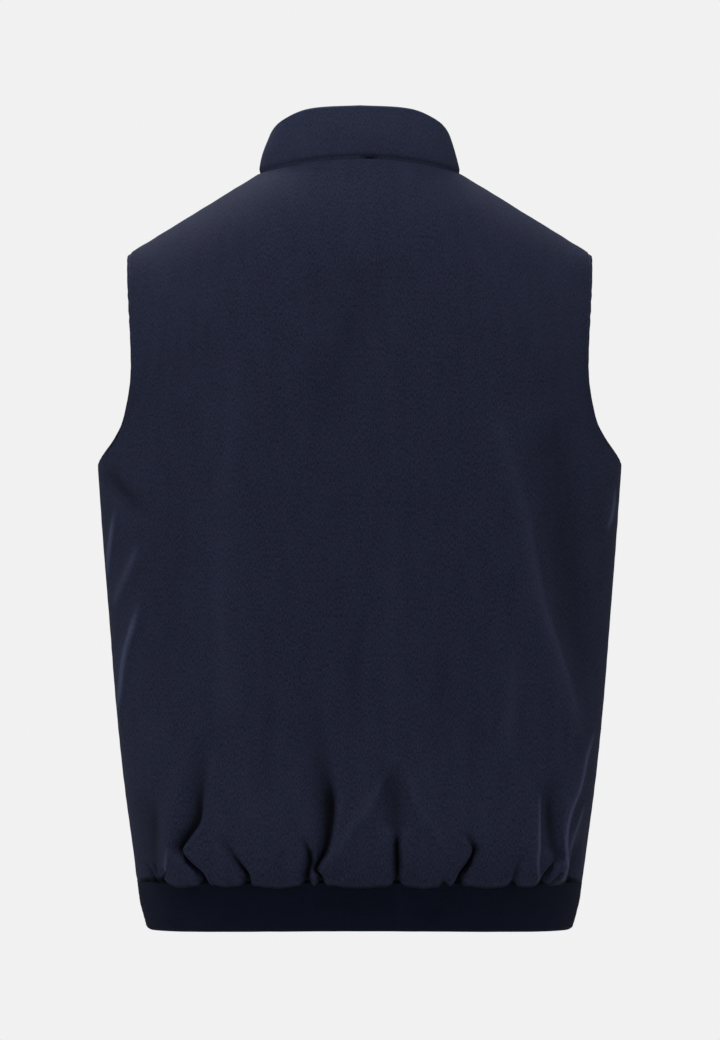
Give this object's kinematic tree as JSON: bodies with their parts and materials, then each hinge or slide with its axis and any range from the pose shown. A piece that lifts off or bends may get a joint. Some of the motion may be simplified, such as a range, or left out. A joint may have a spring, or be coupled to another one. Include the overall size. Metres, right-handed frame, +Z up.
{
  "type": "padded vest",
  "caption": "Sleeveless padded vest, filled out, with a stand collar, a centre front zip and a knit hem band that gathers the body.",
  "frame": {"origin": "midway between the two points where the shoulder seams meet the collar, where the wearer's shoulders hold the vest up", "axes": "+Z up, the fronts and the zip face -Y, and the wearer's left is +X"},
  "size_m": [0.4812, 0.2403, 0.7521],
  "materials": {
    "shell": "matt heathered weave, lightly padded",
    "knit": "matt fine knit",
    "zip_tape": "woven tape",
    "zip_teeth": "moulded teeth, satin",
    "zip_metal": "dark satin coating"
  },
  "bodies": {
    "vest": {"back": "shell", "front_left": "shell", "front_right": "shell", "collar": "shell", "hem_band": "knit", "zip_tape_left": "zip_tape", "zip_tape_right": "zip_tape", "zip_chain": "zip_teeth", "zip_box": "zip_metal", "zip_slider": "zip_metal"},
    "pull_tab": {"zip_pull_tab": "zip_metal"}
  },
  "joints": [
    {"name": "pull_tab_swing", "type": "hinge", "parent": "vest", "child": "pull_tab", "pos_m": [0, -0.07549, -0.03741], "axis": [-1, 0, 0], "range_deg": [0, 150]}
  ]
}
